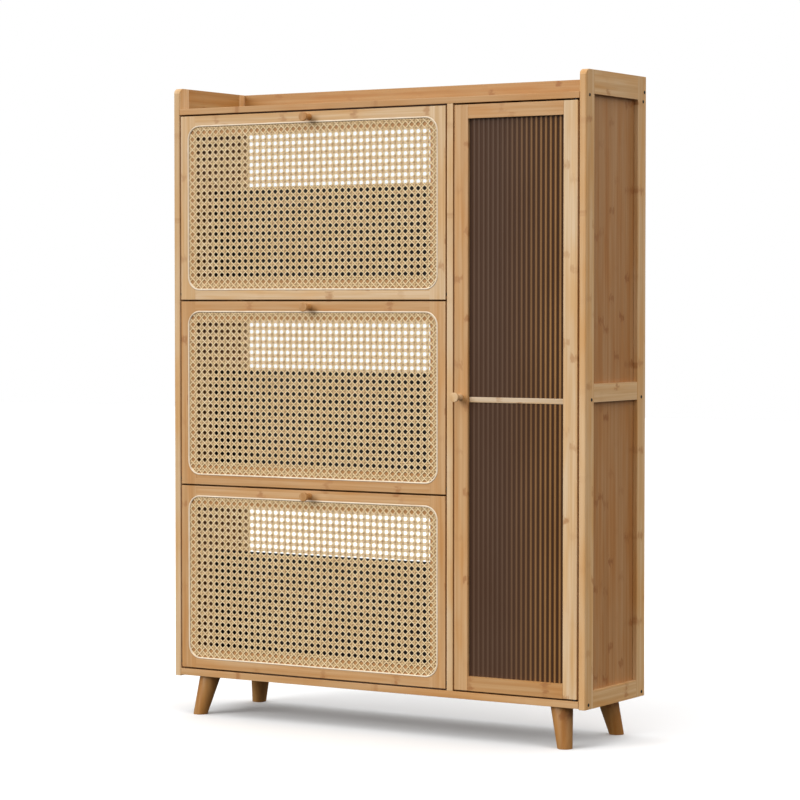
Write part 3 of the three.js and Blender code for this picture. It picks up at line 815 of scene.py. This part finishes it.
def add_spline(name, low, high, face, material, around=14):
    """The round reed that holds the webbing in its groove."""
    middle = (low + high) / 2
    inset = SPLINE_RADIUS
    path = rounded_path(
        (high.x - low.x) / 2 - SPLINE_INSET_SIDE - inset,
        (high.z - low.z) / 2 - SPLINE_INSET_END - inset,
        SPLINE_CORNER - inset,
    )
    points = []
    for place, out in path:
        for i in range(around):
            angle = math.tau * i / around
            offset = SPLINE_RADIUS * (math.cos(angle) * out + math.sin(angle) * Vector((0, 1, 0)))
            centre = Vector((middle.x + place.x, face, middle.z + place.z))
            points.append(centre + offset)
    piece = add_mesh(name, points, ring_faces(len(path), around, closed=True))
    piece.data.materials.append(material)
    return piece


def add_fronts():
    canes = [cane_material(f"cane_{kind}", *look) for kind, look in CANE_KINDS.items()]
    reed = reed_material()
    knob_wood = bamboo("warm", "y", "x", "z", strip=KNOB_STRIP)
    for level in LEVELS:
        body = f"{level}_front"
        low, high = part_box(f"{level}_front_frame")
        points, faces, numbers = webbing(low, high)
        cane_low, cane_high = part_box(f"{level}_cane_panel")
        middle = (low + high) / 2
        centre = np.array([middle.x, (cane_low.y + cane_high.y) / 2, middle.z])
        sheet = add_mesh(f"{level}_cane_weave", points + centre, faces, canes, numbers)
        settle(sheet, f"{level}_cane_panel", body)
        spline_low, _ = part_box(f"{level}_cane_spline")
        face = spline_low.y + SPLINE_RADIUS
        spline = add_spline(f"{level}_reed_spline", low, high, face, reed)
        settle(spline, f"{level}_cane_spline", body)
        add_knob(f"{level}_knob", body, knob_wood)
    add_knob("door_knob", "door", bamboo("pale", "y", "x", "z", strip=KNOB_STRIP))


# ---------------------------------------------------------------- fluted panels
def add_fluted_panel(level, material, steps=12):
    node = f"door_{level}_fluted_panel"
    low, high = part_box(node)
    count = round((high.x - low.x) / FLUTE_PITCH)
    pitch = (high.x - low.x) / count
    across = np.arange(count * steps + 1) / steps
    crest = np.abs(np.sin(math.pi * across))
    x = low.x + across * pitch
    y = low.y + FLUTE_DEPTH * (1 - crest)
    outline = [(high.x, high.y), (low.x, high.y), *zip(x, y)]
    levels = (low.z, high.z)
    points = [(px, py, z) for z in levels for px, py in outline]
    panel = add_mesh(f"{level}_fluted_panel", points, ring_faces(2, len(outline)))
    shade = panel.modifiers.new("corners", "EDGE_SPLIT")
    shade.split_angle = math.radians(50)
    settle(panel, node, "door", material)


# ---------------------------------------------------------------- bolts
def add_bolt(name, place, out, material, around=24):
    """A flat bolt head with a hexagonal socket; out is its direction along x."""
    rings = (
        (BOLT_RADIUS * 0.96, -0.5 * BOLT_PROUD, False),
        (BOLT_RADIUS, 0.3 * BOLT_PROUD, False),
        (BOLT_RADIUS * 0.93, 0.85 * BOLT_PROUD, False),
        (BOLT_RADIUS * 0.82, BOLT_PROUD, False),
        (SOCKET_RADIUS * 1.08, BOLT_PROUD, True),
        (SOCKET_RADIUS, 0.9 * BOLT_PROUD, True),
        (SOCKET_RADIUS, 0.06 * BOLT_PROUD, True),
    )
    points = []
    for radius, height, six_sided in rings:
        for i in range(around):
            angle = math.tau * i / around
            flat = math.cos((angle % (math.pi / 3)) - math.pi / 6)
            reach = radius / flat if six_sided else radius
            points.append(
                (
                    place.x + out * height,
                    place.y + out * reach * math.cos(angle),
                    place.z + reach * math.sin(angle),
                )
            )
    bolt = add_mesh(name, points, ring_faces(len(rings), around), [material])
    shade = bolt.modifiers.new("corners", "EDGE_SPLIT")
    shade.split_angle = math.radians(40)
    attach(bolt, "root")


def add_bolts():
    """Bolt heads where the boards, the shelf, the rear rails and the gallery meet the sides."""
    dark = steel_material("bolt_steel", *BOLT_STEEL)
    low, high = cad_box
    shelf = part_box("mid_shelf")
    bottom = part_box("bottom_board")
    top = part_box("top_board")
    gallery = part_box("gallery_rail")
    rails = [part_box(f"{level}_rear_rail") for level in ("lower", "upper")]

    def middle(box):
        return (box[0] + box[1]) / 2

    front = bottom[0].y + BOLT_INSET_FRONT
    rear = bottom[1].y - BOLT_INSET_REAR
    common = [
        (front, middle(bottom).z),
        (rear, middle(bottom).z),
        (front, middle(top).z),
        (rear, middle(top).z),
        (middle(gallery).y, gallery[0].z + BOLT_RISE_GALLERY),
    ]
    own = {
        "left": [(middle(rail).y, middle(rail).z) for rail in rails],
        "right": [
            (front + SHELF_BOLT_IN_FRONT, middle(shelf).z),
            (rear - SHELF_BOLT_IN_REAR, middle(shelf).z),
        ],
    }
    for side, x, out in (("left", low.x, -1), ("right", high.x, 1)):
        for number, (y, z) in enumerate(common + own[side], 1):
            add_bolt(f"{side}_bolt_{number}", Vector((x, y, z)), out, dark)


# ---------------------------------------------------------------- studio
def add_camera():
    data = bpy.data.cameras.new("camera")
    data.lens = LENS
    data.clip_end = 100
    camera = bpy.data.objects.new("camera", data)
    camera.location = CAMERA_PLACE
    camera.rotation_euler = (math.pi / 2 - VIEW_PITCH, 0, VIEW_AZIMUTH)
    bpy.context.scene.collection.objects.link(camera)
    bpy.context.scene.camera = camera


def add_sun(name, heading, strength, spread):
    """A soft, even light from far away, in a heading round from the front and up."""
    turn, rise = heading
    data = bpy.data.lights.new(name, "SUN")
    data.energy = strength
    data.angle = spread
    sun = bpy.data.objects.new(name, data)
    bpy.context.scene.collection.objects.link(sun)
    level = math.cos(rise)
    away = Vector((math.sin(turn) * level, -math.cos(turn) * level, math.sin(rise)))
    sun.location = away * SUN_DISTANCE
    sun.rotation_euler = away.to_track_quat("Z", "Y").to_euler()
    sun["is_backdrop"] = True


def add_world():
    """A white backdrop for the camera; for the light, a bright ceiling and a dim floor."""
    world = bpy.data.worlds.new("studio")
    bpy.context.scene.world = world
    world.use_nodes = True
    tree = world.node_tree
    heading = tree.nodes.new("ShaderNodeTexCoord")
    split = tree.nodes.new("ShaderNodeSeparateXYZ")
    rise = tree.nodes.new("ShaderNodeMapRange")
    seen = tree.nodes.new("ShaderNodeLightPath")
    pick = tree.nodes.new("ShaderNodeMix")
    tree.links.new(heading.outputs["Generated"], split.inputs[0])
    tree.links.new(split.outputs["Z"], rise.inputs["Value"])
    gradient = {
        "From Min": SKY_RISE_LOW,
        "From Max": SKY_RISE_HIGH,
        "To Min": SKY_LOW,
        "To Max": SKY_HIGH,
    }
    for name, value in gradient.items():
        rise.inputs[name].default_value = value
    tree.links.new(seen.outputs["Is Camera Ray"], pick.inputs["Factor"])
    tree.links.new(rise.outputs[0], pick.inputs["A"])
    pick.inputs["B"].default_value = BACKDROP_STRENGTH
    background = tree.nodes["Background"]
    background.inputs["Color"].default_value = (1, 1, 1, 1)
    tree.links.new(pick.outputs["Result"], background.inputs["Strength"])


def add_studio():
    bpy.context.scene.view_settings.view_transform = "Standard"
    add_sun("key", KEY_HEADING, KEY_STRENGTH, KEY_SPREAD)
    add_sun("fill", FILL_HEADING, FILL_STRENGTH, FILL_SPREAD)
    add_world()
    half = FLOOR_HALF
    corners = [(-half, -half, 0), (half, -half, 0), (half, half, 0), (-half, half, 0)]
    floor = add_mesh("studio_floor", corners, [(0, 1, 2, 3)], [floor_material()], smooth=False)
    floor.visible_diffuse = False
    floor.visible_glossy = False
    floor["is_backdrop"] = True


add_camera()
add_studio()
dress_boards()
add_legs()
add_fronts()
fluted = fluted_material()
for panel_level in ("lower", "upper"):
    add_fluted_panel(panel_level, fluted)
add_bolts()

boxes = {"cad": cad_box, "visual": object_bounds()}
{name: [list(corner) for corner in box] for name, box in boxes.items()}
